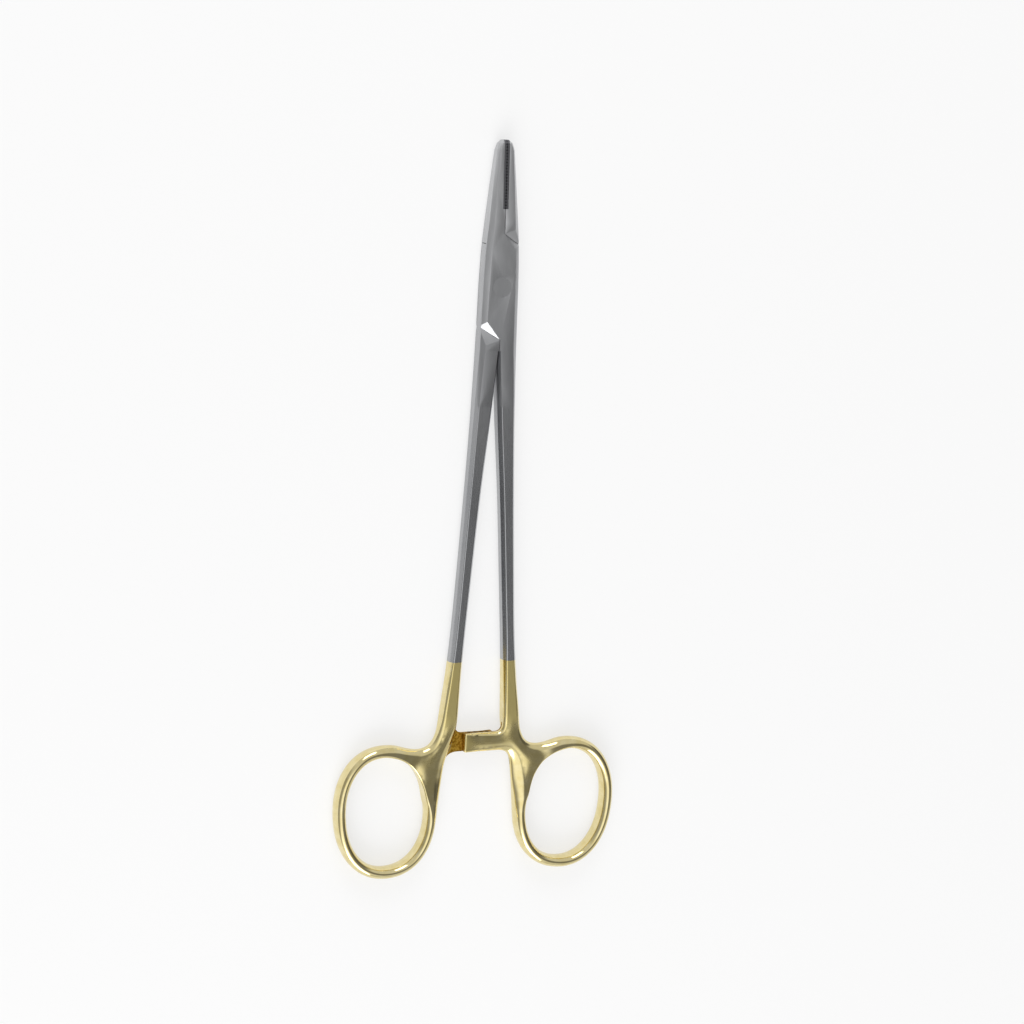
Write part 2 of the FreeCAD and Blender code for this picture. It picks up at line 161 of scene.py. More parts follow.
def noise(tree, vector, scale, detail=2.0, roughness=0.5):
    """Soft noise from 0 to 1 of that many waves per millimetre."""
    node = add(tree, "ShaderNodeTexNoise")
    node.inputs["Scale"].default_value = scale
    node.inputs["Detail"].default_value = detail
    node.inputs["Roughness"].default_value = roughness
    tree.links.new(vector, node.inputs["Vector"])
    return node.outputs["Fac"]


def spread(tree, value, low, high, to_low, to_high):
    """value moved from the range low..high to the range to_low..to_high and held there."""
    node = add(tree, "ShaderNodeMapRange")
    node.inputs["From Min"].default_value = low
    node.inputs["From Max"].default_value = high
    node.inputs["To Min"].default_value = to_low
    node.inputs["To Max"].default_value = to_high
    tree.links.new(value, node.inputs["Value"])
    return node.outputs["Result"]


def bump(tree, shader, heights):
    """Joins bump nodes in a row: each height in heights is (value 0..1, depth in mm)."""
    normal = None
    for value, depth in heights:
        node = add(tree, "ShaderNodeBump")
        node.inputs["Distance"].default_value = depth * MM
        tree.links.new(value, node.inputs["Height"])
        if normal is not None:
            tree.links.new(normal, node.inputs["Normal"])
        normal = node.outputs["Normal"]
    tree.links.new(normal, shader.inputs["Normal"])

# %% [markdown]
# ## The handle's outline
# Shank, web, finger ring and ratchet arm are one forging. Seen from above it is one
# closed outline with the ring's hole in it, so the handle can be made as a hammered
# and ground bar is: one outline, and an edge shape that is carried along it.


# %% curves in the plane
def smooth_curve(stations, values, x):
    """Natural cubic spline: between stations k and k+1 it is v + t*slope + t^2*m/2 + t^3*(change of m)/6h,
    with the second derivatives m from one linear system, so that slopes agree at every station."""
    a, v = np.asarray(stations, float), np.asarray(values, float)
    h, rise = np.diff(a), np.diff(v)
    n = len(a)
    i = np.arange(1, n - 1)
    system = np.eye(n)
    system[i, i - 1], system[i, i], system[i, i + 1] = h[:-1], 2 * (h[:-1] + h[1:]), h[1:]
    right = np.zeros(n)
    right[1:-1] = 6 * np.diff(rise / h)
    m = np.linalg.solve(system, right)
    k = np.clip(np.searchsorted(a, x) - 1, 0, n - 2)
    t = x - a[k]
    slope = rise[k] / h[k] - h[k] * (2 * m[k] + m[k + 1]) / 6
    return v[k] + t * slope + t**2 * m[k] / 2 + t**3 * (m[k + 1] - m[k]) / (6 * h[k])


def bezier(p0, p1, p2, p3, count=60):
    """Cubic curve (1-t)^3 p0 + 3(1-t)^2 t p1 + 3(1-t) t^2 p2 + t^3 p3."""
    t = np.linspace(0, 1, count)[:, None]
    p0, p1, p2, p3 = (np.asarray(p, float) for p in (p0, p1, p2, p3))
    return (1 - t) ** 3 * p0 + 3 * (1 - t) ** 2 * t * p1 + 3 * (1 - t) * t**2 * p2 + t**3 * p3


def swept_corner(start, start_way, end, end_way, pull):
    """A soft corner from start to end that leaves along start_way and arrives along end_way."""
    start, end = np.asarray(start, float), np.asarray(end, float)
    a = np.asarray(start_way, float) / np.linalg.norm(start_way)
    b = np.asarray(end_way, float) / np.linalg.norm(end_way)
    reach = np.linalg.norm(end - start) * pull
    return bezier(start, start + a * reach, end - b * reach, end)


def length_along(points):
    """Distance travelled along a row of points."""
    return np.r_[0, np.cumsum(np.linalg.norm(np.diff(points, axis=0), axis=1))]


def resample(points, spacing):
    """The same curve with its points an even distance of about spacing apart."""
    along = length_along(points)
    count = max(2, int(round(along[-1] / spacing)) + 1)
    even = np.linspace(0, along[-1], count)
    return np.stack([np.interp(even, along, points[:, 0]), np.interp(even, along, points[:, 1])], 1)


def soften(values, passes):
    """Each value becomes the mean of itself and its neighbours, that many times over."""
    for _ in range(passes):
        padded = np.r_[values[:1], values, values[-1:]]
        values = (padded[:-2] + 2 * padded[1:-1] + padded[2:]) / 4
    return values


def step(x):
    """Smooth step 3x^2 - 2x^3 from 0 to 1."""
    x = np.clip(x, 0, 1)
    return x * x * (3 - 2 * x)


def nearest(points, others):
    """Distance from each point to the nearest of others, and which one it is."""
    gap = np.linalg.norm(points[:, None, :] - others[None, :, :], axis=2)
    return gap.min(1), gap.argmin(1)


def distance_to_loop(points, loop):
    """Distance from each point to a closed line, not only to its corners: at the nearest
    corner the point is dropped onto the straight pieces before and after it."""
    which = nearest(points, loop)[1]
    here = loop[which]
    gaps = []
    for beside in (loop[which - 1], loop[(which + 1) % len(loop)]):
        way = beside - here
        along = ((points - here) * way).sum(1) / np.maximum((way**2).sum(1), 1e-12)
        foot = here + np.clip(along, 0, 1)[:, None] * way
        gaps.append(np.linalg.norm(points - foot, axis=1))
    return np.minimum(*gaps)


# %% shank, ring and arm in plan, for the half whose ring is on the +X side
CUT_Y = -32.0
SHANK_Y = np.array([-120.0, -103.0, -78.0, -52.0, -32.0, -17.0])
SHANK_CENTRE = np.array([9.25, 7.87, 6.20, 4.58, 3.30, 2.63])
SHANK_WIDTH = np.array([5.0, 3.8, 3.75, 4.25, 5.0, 5.14])
SHANK_THICK = np.array([4.6, 4.6, 4.6, 4.8, 5.3, 6.0])
RING_CENTRE = np.array([26.12, -142.62])
RING_HALF_WIDTH = 12.92
RING_HALF_LENGTH = 16.9
RING_TURN = 0.077
RING_FULLNESS = 2.17
WIRE_HALF_WIDTH = 1.65
ARM_END_X = -4.5
ARM_TOP_Y = -121.6
ARM_BOTTOM_Y = -126.8
ARM_CORNER = 0.45
TOOTH_FIRST_X = -3.9
TOOTH_PITCH = 1.7
TOOTH_COUNT = 4
TOOTH_DEPTH = 0.8
TOOTH_DROP = 0.02
ARM_GAP = 0.06
MID_Z = 3.0
SHANK_SPACING = 0.9
BEND_SPACING = 0.35
RING_SPACING = 0.38


def shank_side(y, side):
    """X of the shank's side at y: the centre line plus or minus half the width."""
    centre = smooth_curve(SHANK_Y, SHANK_CENTRE, y)
    return centre + side * smooth_curve(SHANK_Y, SHANK_WIDTH, y) / 2


turns = np.linspace(0, 2 * math.pi, 721)[:-1]
ring_x = RING_HALF_WIDTH * np.sign(np.cos(turns)) * np.abs(np.cos(turns)) ** (2 / RING_FULLNESS)
ring_y = RING_HALF_LENGTH * np.sign(np.sin(turns)) * np.abs(np.sin(turns)) ** (2 / RING_FULLNESS)
ring_line = RING_CENTRE + np.stack(
    [
        ring_x * math.cos(RING_TURN) + ring_y * math.sin(RING_TURN),
        ring_y * math.cos(RING_TURN) - ring_x * math.sin(RING_TURN),
    ],
    1,
)
ring_way = np.roll(ring_line, -1, 0) - np.roll(ring_line, 1, 0)
ring_way /= np.linalg.norm(ring_way, axis=1)[:, None]
ring_out = np.stack([ring_way[:, 1], -ring_way[:, 0]], 1)
ring_outer = ring_line + WIRE_HALF_WIDTH * ring_out
ring_hole = ring_line - WIRE_HALF_WIDTH * ring_out


def ring_index(degrees):
    """The ring sample whose direction from the ring's centre is that many degrees."""
    away = ring_line - RING_CENTRE
    angle = np.degrees(np.arctan2(away[:, 1], away[:, 0]))
    return int(np.abs((angle - degrees + 180) % 360 - 180).argmin())


SWEEP_TOP_Y = -113.5
ARM_JOIN_Y = -118.9
JOIN_TOP = ring_index(101)
JOIN_MEDIAL = ring_index(198)
WEB_MEDIAL = np.array([9.85, -131.4])
WEB_WAY = (-0.13, 1)

shank_y = np.linspace(CUT_Y, SWEEP_TOP_Y, 140)
lateral = np.stack([shank_side(shank_y, 1), shank_y], 1)
medial_y = np.linspace(ARM_JOIN_Y, CUT_Y, 140)
medial = np.stack([shank_side(medial_y, -1), medial_y], 1)
sweep = swept_corner(
    lateral[-1], lateral[-1] - lateral[-2], ring_outer[JOIN_TOP], -ring_way[JOIN_TOP], 0.62
)
round_ring = ring_outer[np.arange(JOIN_TOP, JOIN_MEDIAL - 720, -1) % 720]
to_web = swept_corner(
    ring_outer[JOIN_MEDIAL], -ring_way[JOIN_MEDIAL], WEB_MEDIAL, WEB_WAY, 0.33
)
before_arm = np.concatenate(
    [
        resample(lateral, SHANK_SPACING)[:-1],
        resample(sweep, BEND_SPACING)[:-1],
        resample(np.concatenate([round_ring, to_web[1:]]), RING_SPACING),
    ]
)
after_arm = resample(medial, SHANK_SPACING)
arm_medial_end = after_arm[0]

# The arm's long edges share one list of x, with a point at every corner of the teeth.
tooth_ends = TOOTH_FIRST_X + TOOTH_PITCH * (1 + np.arange(TOOTH_COUNT))
tooth_corners = np.sort(np.r_[TOOTH_FIRST_X, tooth_ends - TOOTH_DROP, tooth_ends])
ARM_ROOT_X = 4.6
edge_x = np.r_[tooth_corners, 3.6, ARM_ROOT_X]
quarter = np.linspace(0, math.pi / 2, 5)
corner_x = ARM_END_X + ARM_CORNER * (1 - np.cos(quarter))
corner_low = np.stack([corner_x[::-1], ARM_BOTTOM_Y + ARM_CORNER * (1 - np.sin(quarter[::-1]))], 1)
corner_high = np.stack([corner_x, ARM_TOP_Y - ARM_CORNER * (1 - np.sin(quarter))], 1)
lower_fillet = resample(
    swept_corner(WEB_MEDIAL, WEB_WAY, (ARM_ROOT_X, ARM_BOTTOM_Y), (-1, 0), 0.55), BEND_SPACING
)
upper_fillet = resample(
    swept_corner((ARM_ROOT_X, ARM_TOP_Y), (1, 0), arm_medial_end, after_arm[1] - after_arm[0], 0.5),
    BEND_SPACING
)
low_edge = np.stack([edge_x[::-1][1:], np.full(len(edge_x) - 1, ARM_BOTTOM_Y)], 1)
high_edge = np.stack([edge_x[:-1], np.full(len(edge_x) - 1, ARM_TOP_Y)], 1)
arm_path = np.concatenate(
    [lower_fillet[1:], low_edge, corner_low, corner_high, high_edge, upper_fillet[:-1]]
)
plain_path = resample(
    swept_corner(WEB_MEDIAL, WEB_WAY, arm_medial_end, after_arm[1] - after_arm[0], 0.33), 0.5
)[1:-1]
hole_path = resample(np.concatenate([ring_hole, ring_hole[:1]]), RING_SPACING)[:-1]
with_arm = np.concatenate([before_arm, arm_path, after_arm])
without_arm = np.concatenate([before_arm, plain_path, after_arm])
print("outline with the arm", len(with_arm), "points, ring's hole", len(hole_path), "points")

# %% [markdown]
# ## The handle's edges
# The shank is ground with a narrow bevel on each side. From the ratchet down the bevel
# turns into a soft rounding, which the polisher widens until the finger ring is a round
# wire. One edge shape is worked out for every point of the outline and carried along it.

# %% how wide, deep and round the edge is at each place
# Lengths are in millimetres. The crown is the dome of the web's face, and the swell is
# where the forging grows from the shank's thickness to the ring's. A name in OVER says how
# far a change takes from where it starts.
PROFILE_ROWS = 15
CORNER_ROWS = np.array([0.0, 0.25, 0.5, 0.75, 1.0])
ROUND_ANGLES = np.radians([0, 7, 14, 22, 30, 39, 49, 58, 66, 74, 82, 90])
RING_EDGE = 0.42
WIRE_FLAT = 0.05
FACE_GUARD = 0.012
FORGED_HALF_THICK = 2.3
RING_HALF_THICK = 2.86
CROWN_DEPTH = 0.5
CROWN_REACH = 3.9
CROWN_FROM_Y = -116.0
CROWN_OVER = 7.0
CROWN_ARM_X = -4.4
CROWN_ARM_OVER = 4.0
NARROW_FACE = 0.3
NARROW_FACE_OVER = 3.0
LEAST_WALL = 0.12
BEVEL_GUARD = 0.06
WALL_STRIP = 0.08
CORNER_REACH = 1.6
SLOPE_TO_ANGLE = 1.3
STEEPEST_START = 0.4
# A depth past half the thickness: the edge then reaches down to the middle of the wall.
PAST_MIDDLE = 9.0
HOLE_DEPTH_AT_WEB = 0.55
WEB_BEARING = 130.0
WEB_HALF_ARC = 22.0
WEB_ARC_OVER = 44.0
SWELL_FROM = (10.0, -123.0)
SWELL_WAY = (0.5, -0.87)
SWELL_OVER = 21.0
SWELL_DELAY = 0.2
GROUND_FROM = 0.4
GROUND_OVER = 2.6
CROWN_POLISH = 0.6
GROUND_FADE = np.array([1, 1, 0.9, 0.75, 0.5, 0.3, 0.15, 0.05, 0, 0, 0, 0, 0, 0, 0])


def half_thickness(points):
    """Half the thickness at a point of the plan: the shank's own down to the web, and
    then a smooth step up to the ring's far side."""
    shank = smooth_curve(SHANK_Y, SHANK_THICK, np.maximum(points[:, 1], SHANK_Y[0])) / 2
    x, y = points[:, 0], points[:, 1]
    down = SWELL_WAY[0] * (x - SWELL_FROM[0]) + SWELL_WAY[1] * (y - SWELL_FROM[1])
    return shank + (RING_HALF_THICK - FORGED_HALF_THICK) * step(down / SWELL_OVER - SWELL_DELAY)


def edge_profile(width, depth, roundness, corner, half, slope=0.0):
    """Inset from the outline and height over the middle, one row of each per place.
    A bevel is the straight line from (width, half) to (0, half - depth), with each corner a
    curve (1-t)^2 a + 2(1-t)t b + t^2 c. A rounding is an arc of an ellipse from the angle
    a0, where it slopes as the face beside it does, to a right angle: inset
    width (1 - sin a) / (1 - sin a0), height half - depth (cos a0 - cos a) / cos a0.
    roundness blends the two."""
    first = np.minimum(SLOPE_TO_ANGLE * slope * width / depth, STEEPEST_START) * np.ones(len(width))
    width, depth, roundness, corner, half, first = (
        v[:, None] for v in (width, depth, roundness, corner, half, first))
    share = corner / np.hypot(width, depth)
    t = CORNER_ROWS[None, :]
    blend_in = (1 - t) ** 2
    blend_out = t**2
    top_inset = width + corner * blend_in - share * width * blend_out
    top_height = half - share * depth * blend_out
    low_inset = share * width * blend_in
    low_height = half - depth + share * depth * blend_in - corner * blend_out
    near = share * CORNER_REACH
    mid_inset = width * np.concatenate([1 - near, near], 1)
    mid_height = half - depth * np.concatenate([near, 1 - near], 1)
    bevel_inset = np.concatenate([top_inset, mid_inset, low_inset], 1)
    bevel_height = np.concatenate([top_height, mid_height, low_height], 1)
    angle = first + (1 - first / (math.pi / 2)) * ROUND_ANGLES[None, :]
    round_inset = width * (1 - np.sin(angle)) / (1 - np.sin(first))
    round_height = half - depth * (np.cos(first) - np.cos(angle)) / np.cos(first)
    inset = bevel_inset + roundness * (round_inset - bevel_inset)
    height = bevel_height + roundness * (round_height - bevel_height)
    wall_top = height[:, -1:]
    guard_inset = inset[:, :1] + BEVEL_GUARD * (1 - roundness) + FACE_GUARD
    inset = np.concatenate([guard_inset, inset, 0 * inset[:, :1], 0 * inset[:, :1]], 1)
    strip = wall_top - np.minimum(WALL_STRIP, wall_top / 2)
    height = np.concatenate([half, height, strip, 0 * wall_top], 1)
    return inset, height


def anchored(path, anchors, passes):
    """A value along the path that is held at the path points nearest to the anchors' places."""
    along = length_along(path)
    places = np.array([a[0] for a in anchors], float)
    at = along[nearest(places, path)[1]]
    order = np.argsort(at)
    values = np.array([a[1] for a in anchors], float)[order]
    return soften(np.interp(along, at[order], values), passes)


def outward(path, closed=False):
    """Unit normals to the right of the path's direction, from the points on either side."""
    if closed:
        way = np.roll(path, -1, 0) - np.roll(path, 1, 0)
    else:
        way = np.gradient(path, axis=0)
    way = way / np.linalg.norm(way, axis=1)[:, None]
    return np.stack([way[:, 1], -way[:, 0]], 1)


def hole_edge(points):
    """How far the ring's inner rounding reaches at points of its hole: narrow beside the
    web, half the wire elsewhere."""
    away = points - RING_CENTRE
    angle = np.degrees(np.arctan2(away[:, 1], away[:, 0]))
    turn = np.abs((angle - WEB_BEARING + 180) % 360 - 180)
    grown = step((turn - WEB_HALF_ARC) / WEB_ARC_OVER)
    full = WIRE_HALF_WIDTH - WIRE_FLAT / 2
    return RING_EDGE + (full - RING_EDGE) * grown, grown


def outer_edge(path, arm):
    """Width, depth, roundness and corner size along an outline, with or without the arm."""
    low, high = before_arm[0], after_arm[-1]
    sweep_low = sweep[len(sweep) // 2]
    arm_width = [
        ((6.5, -127.3), 1.3), ((2.5, ARM_BOTTOM_Y), 0.75), ((-2.8, ARM_BOTTOM_Y), 0.7),
        ((-4.0, ARM_BOTTOM_Y), 0.38), ((ARM_END_X, -124), 0.38), ((-4.0, ARM_TOP_Y), 0.4),
        ((-2.8, ARM_TOP_Y), 0.9), ((4.4, ARM_TOP_Y), 0.95)]
    width = anchored(path, [
        (low, 0.85), ((9.3, -106), 0.85), (lateral[-1], 1.0), (sweep_low, 1.5), (sweep[-1], 2.3),
        ((30, -124.5), 2.7), ((40, -140), 2.7), ((11.4, -146), 2.9), ((10.3, -135), 3.1),
        (WEB_MEDIAL, 2.9), *(arm_width if arm else []), (arm_medial_end, 1.0), ((6.3, -108), 0.85),
        (high, 0.85)], 4)
    which = nearest(path, hole_path)[1]
    room = distance_to_loop(path, hole_path) - hole_edge(hole_path)[0][which] - WIRE_FLAT
    width = soften(np.minimum(width, np.maximum(room, 0.3)), 3)
    arm_depth = [
        ((6.5, -127.3), 1.3), ((2.5, ARM_BOTTOM_Y), 0.8), ((-4.0, ARM_BOTTOM_Y), 0.45),
        ((-4.0, ARM_TOP_Y), 0.45), ((-2.8, ARM_TOP_Y), 0.9)]
    depth = anchored(path, [
        (low, 1.3), ((9.3, -106), 1.3), (lateral[-1], 1.4), (sweep_low, 1.9), (sweep[-1], PAST_MIDDLE),
        ((11.4, -146), PAST_MIDDLE), ((10.3, -135), 2.2), (WEB_MEDIAL, 1.9), *(arm_depth if arm else []),
        (arm_medial_end, 1.3), ((6.3, -108), 1.3), (high, 1.3)], 4)
    roundness = anchored(path, [
        (low, 0), ((8.2, -98), 0), ((9.3, -108), 0.35), (lateral[-1], 0.9), (sweep_low, 1),
        (arm_medial_end, 1), ((6.3, -108), 0.35), ((5.6, -98), 0), (high, 0)], 6)
    corner = anchored(path, [
        (low, 0.12), ((8.2, -98), 0.2), (sweep_low, 0.3), ((5.6, -98), 0.2), (high, 0.12)], 2)
    return width, depth, roundness, corner


def web_crown(points, outer_loop, hole_loop):
    """How far the web's face falls towards its two edges, and how close the outer edge and
    the hole's edge are, from 0 to 1. With d the distance to an edge the fall there is
    CROWN_DEPTH (1 - d / CROWN_REACH)^2, less where the face is narrow, and none on the
    shank or the tip of the arm."""
    to_outer = distance_to_loop(points, outer_loop)
    to_hole = distance_to_loop(points, hole_loop)
    web = step((CROWN_FROM_Y - points[:, 1]) / CROWN_OVER)
    web = web * step((points[:, 0] - CROWN_ARM_X) / CROWN_ARM_OVER)
    web = web * step((to_outer + to_hole - NARROW_FACE) / NARROW_FACE_OVER)
    by_outer = np.clip(1 - to_outer / CROWN_REACH, 0, 1)
    by_hole = np.clip(1 - to_hole / CROWN_REACH, 0, 1)
    return CROWN_DEPTH * web * (by_outer**2 + by_hole**2), web * by_outer, web * by_hole


def edge_surface(path, normal, profile):
    """Points of the edge by place, row and xyz: the outline moved in by the inset, at the height."""
    inset, height = profile
    flat = path[:, None, :] - inset[:, :, None] * normal[:, None, :]
    return np.concatenate([flat, height[:, :, None]], 2)


def inside(points, loop):
    """Whether each point is inside the closed loop: it is where the number of the loop's
    edges that a line from the point along +X crosses is odd."""
    x, y = points[:, :1], points[:, 1:]
    x0, y0 = loop[None, :, 0], loop[None, :, 1]
    x1, y1 = np.roll(x0, -1, 1), np.roll(y0, -1, 1)
    rise = np.where(y1 == y0, 1, y1 - y0)
    crossed = ((y0 > y) != (y1 > y)) & (x < x0 + (y - y0) * (x1 - x0) / rise)
    return crossed.sum(1) % 2 == 1


def flat_face(outer, hole, spacing=0.75):
    """Triangles that fill the flat between two closed loops, with a few points inside.
    The points of both loops are kept, so that the face can be welded to the edges."""
    low, high = outer.min(0), outer.max(0)
    x, y = np.meshgrid(np.arange(low[0], high[0], spacing), np.arange(low[1], high[1], spacing))
    grid = np.stack([x.ravel(), y.ravel()], 1)
    grid = grid[inside(grid, outer) & ~inside(grid, hole)]
    grid = grid[nearest(grid, np.concatenate([outer, hole]))[0] > spacing * 0.55]
    points = np.concatenate([outer, hole, grid])
    n, m = len(outer), len(hole)
    first, second = np.arange(n), np.arange(m)
    edges = np.concatenate([
        np.stack([first, (first + 1) % n], 1), np.stack([second, (second + 1) % m], 1) + n])
    made = delaunay_2d_cdt([Vector(p) for p in points.tolist()], edges.tolist(), [], 0, 1e-7, False)
    filled = np.array([tuple(p) for p in made[0]])
    filled[: n + m] = points[: n + m]
    faces = np.array(made[2])
    centres = filled[faces].mean(1)
    return filled, faces[inside(centres, outer) & ~inside(centres, hole)]


def strip_faces(rows, columns, closed=False, start=0):
    """Quads between neighbouring places and rows of a grid of points numbered row by row."""
    a = np.arange(rows if closed else rows - 1)
    b = np.arange(columns - 1)
    here, there = a[:, None] * columns + b, ((a + 1) % rows)[:, None] * columns + b
    return start + np.stack([here, there, there + 1, here + 1], -1).reshape(-1, 4)


def weld(points, faces, decimals=6):
    """Points at the same place become one. Also gives the new number of every old point."""
    kept, index = np.unique(np.round(points, decimals), axis=0, return_inverse=True)
    index = index.ravel()
    return kept, [[int(index[i]) for i in face] for face in faces], index


# %% the handle as one surface
def saw(x):
    """Height of the arm's inner face over the middle: ARM_GAP, and in each tooth a ramp
    that climbs by TOOTH_DEPTH towards the arm's root and then drops back."""
    phase = (x - TOOTH_FIRST_X) / TOOTH_PITCH
    along = phase - np.floor(phase + 1e-9)
    drop = np.clip((1 - along) * TOOTH_PITCH / TOOTH_DROP, 0, 1)
    toothed = (phase > 0) & (phase < TOOTH_COUNT)
    return ARM_GAP + np.where(toothed, TOOTH_DEPTH * along * drop, 0)


def handle_surface():
    """Points in millimetres, faces, and for each point how flat-ground it is, and how rough it is
    and how much painted shade it gets in the ratchet's gap, from 0 to 1."""
    hole_width, grown = hole_edge(hole_path)
    ones = np.ones(len(hole_path))
    hole_normal = outward(hole_path, closed=True)
    hole_normal *= np.sign(((RING_CENTRE - hole_path) * hole_normal).sum(1))[:, None]
    hole_loop = hole_path - (hole_width + FACE_GUARD)[:, None] * hole_normal
    arm_start, arm_stop = len(before_arm), len(before_arm) + len(arm_path)
    inner_start = arm_start + len(lower_fillet) - 1
    inner = slice(inner_start, arm_stop - len(upper_fillet) + 1)
    points, faces, flats, rough_and_shade_sides, ends, offset = [], [], [], [], [], 0
    for layer, path, arm in ((1, with_arm, True), (-1, without_arm, False)):
        normal = outward(path)
        normal *= np.sign(normal[0, 0])
        normal[0], normal[-1] = (1, 0), (-1, 0)
        width, depth, roundness, corner = outer_edge(path, arm)
        start = width + (1 - roundness) * (corner + BEVEL_GUARD) + FACE_GUARD
        outer_loop = path - start[:, None] * normal
        fall, by_outer, _ = web_crown(outer_loop, outer_loop, hole_loop)
        half = half_thickness(outer_loop) - fall
        depth = np.minimum(depth, half - LEAST_WALL)
        slope = 2 * CROWN_DEPTH / CROWN_REACH * by_outer
        profile = edge_profile(width, depth, roundness, corner, half, slope)
        band = edge_surface(path, normal, profile)
        band[[0, -1], :, 1] = CUT_Y
        fall, _, by_hole = web_crown(hole_loop, outer_loop, hole_loop)
        hole_half = half_thickness(hole_loop) - fall
        hole_slope = 2 * CROWN_DEPTH / CROWN_REACH * by_hole
        hole_depth = HOLE_DEPTH_AT_WEB + (PAST_MIDDLE - HOLE_DEPTH_AT_WEB) * grown**2
        hole_depth = np.minimum(hole_depth, hole_half - LEAST_WALL)
        hole_profile = edge_profile(hole_width, hole_depth, ones, 0.2 * ones, hole_half, hole_slope)
        hole_band = edge_surface(hole_path, hole_normal, hole_profile)
        unpolished = np.zeros(band.shape[:2])
        if arm:
            band[inner, -1, 2] = saw(band[inner, -1, 0])
            # The lowest rows of the arm and its inner face are made rough and get a painted dark brown
            # shade, standing in for the shade deep in the ratchet's gap.
            unpolished[arm_start:arm_stop, -2:] = 1
            unpolished[inner, -3:] = 1
        count = len(path)
        cap, cap_faces = flat_face(band[:, 0, :2], hole_band[:, 0, :2])
        fall, by_outer, by_hole = web_crown(cap, band[:, 0, :2], hole_band[:, 0, :2])
        cap_height = half_thickness(cap) - fall
        known = np.concatenate([band[:, 0], hole_band[:, 0]])
        cap_height[: len(known)] = known[:, 2]
        across = nearest(cap, band[:, 0, :2])[0] + nearest(cap, hole_band[:, 0, :2])[0]
        flatness = step((across - GROUND_FROM) / GROUND_OVER)
        flatness = flatness * (1 - CROWN_POLISH * step(by_outer + by_hole))
        outer_flat = flatness[:count, None] * GROUND_FADE
        hole_flat = flatness[count : count + len(hole_loop), None] * GROUND_FADE
        blocks = (
            (band.reshape(-1, 3), strip_faces(count, PROFILE_ROWS),
             outer_flat.ravel(), unpolished.ravel()),
            (hole_band.reshape(-1, 3), strip_faces(len(hole_path), PROFILE_ROWS, True),
             hole_flat.ravel(), 0 * hole_flat.ravel()),
            (np.concatenate([cap, cap_height[:, None]], 1), cap_faces, flatness, 0 * flatness),
        )
        ends.append((offset, offset + (count - 1) * PROFILE_ROWS))
        for block, block_faces, block_flat, block_rough_and_shade in blocks:
            rough_and_shade_sides.append(block_rough_and_shade)
            points.append(block * (1, 1, layer) + (0, 0, MID_Z))
            faces.extend((block_faces + offset).tolist())
            flats.append(block_flat)
            offset += len(block)
    rows = list(range(PROFILE_ROWS))
    (top_low, top_high), (base_low, base_high) = ends
    faces.append(
        [top_low + r for r in rows] + [base_low + r for r in rows[::-1]]
        + [base_high + r for r in rows] + [top_high + r for r in rows[::-1]]
    )

    def wall(first, places):
        """Numbers of the lowest points at those places of the edge that starts at first."""
        return first + places * PROFILE_ROWS + PROFILE_ROWS - 1

    # The inner face of the arm: quads between its long edges, a tip and a root.
    low = inner_start - 1 + np.arange(len(edge_x))
    high = low[-1] + 2 * len(quarter) + np.arange(len(edge_x)) + 1
    low_row, high_row = wall(top_low, low), wall(top_low, high[::-1])
    faces.extend(np.stack([low_row[:-1], low_row[1:], high_row[1:], high_row[:-1]], 1).tolist())
    tip = np.arange(low[-1], high[0] + 1)
    faces.append(wall(top_low, tip).tolist())
    root = np.r_[np.arange(arm_start - 1, low[0] + 1), np.arange(high[-1], arm_stop + 1)]
    back = np.arange(arm_start + len(plain_path) - 1, arm_start - 1, -1)
    faces.append(wall(top_low, root).tolist() + wall(base_low, back).tolist())
    points, flats = np.concatenate(points), np.concatenate(flats)
    welded, faces_welded, index = weld(points, faces)
    flat_of, rough_and_shade_of = np.zeros(len(welded)), np.zeros(len(welded))
    np.maximum.at(flat_of, index, flats)
    np.maximum.at(rough_and_shade_of, index, np.concatenate(rough_and_shade_sides))
    return welded, faces_welded, flat_of, rough_and_shade_of

# %% [markdown]
# ## Finishes
# The whole instrument is stainless steel with a satin face. The end of each shank, the web
# and the ring are plated with gold, with a masked line across. Where the grinder left a flat
# the gold is satin, and where the buffing wheel got at the edges it is a mirror.

# %% steel and gold
STEEL_DARK = (0.375, 0.380, 0.392)
STEEL_LIGHT = (0.425, 0.430, 0.440)
JAW_STEEL_DARK = (0.50, 0.505, 0.515)
JAW_STEEL_LIGHT = (0.57, 0.575, 0.585)
GOLD_SATIN = (0.72, 0.60, 0.25)
GOLD_DEEP = (0.76, 0.64, 0.31)
GOLD_PALE = (0.84, 0.74, 0.43)
# The next two colours are painted shade: a mottled dark brown on the ratchet arm's inner face, standing in
# for the shade deep in the ratchet's gap.
GOLD_SHADED = (0.24, 0.125, 0.008)
GOLD_PAINTED_SHADE_PALE = (0.52, 0.32, 0.05)
BLASTED_FROM_Y, BLASTED_TO_Y = -60.0, 0.0
PALER_FROM_Y, PALER_TO_Y = -25.0, 22.0
PLATING_Y = -101.4
PLATING_WANDER = 0.35
PLATING_HALF_BLUR = 0.05
# Nearly all values of a noise lie between these two.
NOISE_RANGE = (0.3, 0.7)
SHANK_ROUGHNESS = (0.20, 0.29)
JAW_ROUGHNESS = (0.34, 0.44)
POLISHED_ROUGHNESS = (0.06, 0.10)
GROUND_ROUGHNESS = (0.30, 0.40)
UNPOLISHED_ROUGHNESS = 0.55
BRUSHED_DEPTH = 0.0012
STEEL_GRAIN_DEPTH = 0.0006
GOLD_GRAIN_DEPTH = 0.001


def colour_of(tree, factor, first, second):
    """first where factor is 0 and second where it is 1; either may be a node's output."""
    node = add(tree, "ShaderNodeMix", data_type="RGBA")
    for number, value in ((0, factor), (6, first), (7, second)):
        feed(tree, node.inputs[number], value)
    return node.outputs[2]


def number_of(tree, factor, first, second):
    """The same for plain numbers."""
    node = add(tree, "ShaderNodeMix", data_type="FLOAT")
    for number, value in ((0, factor), (2, first), (3, second)):
        feed(tree, node.inputs[number], value)
    return node.outputs[0]


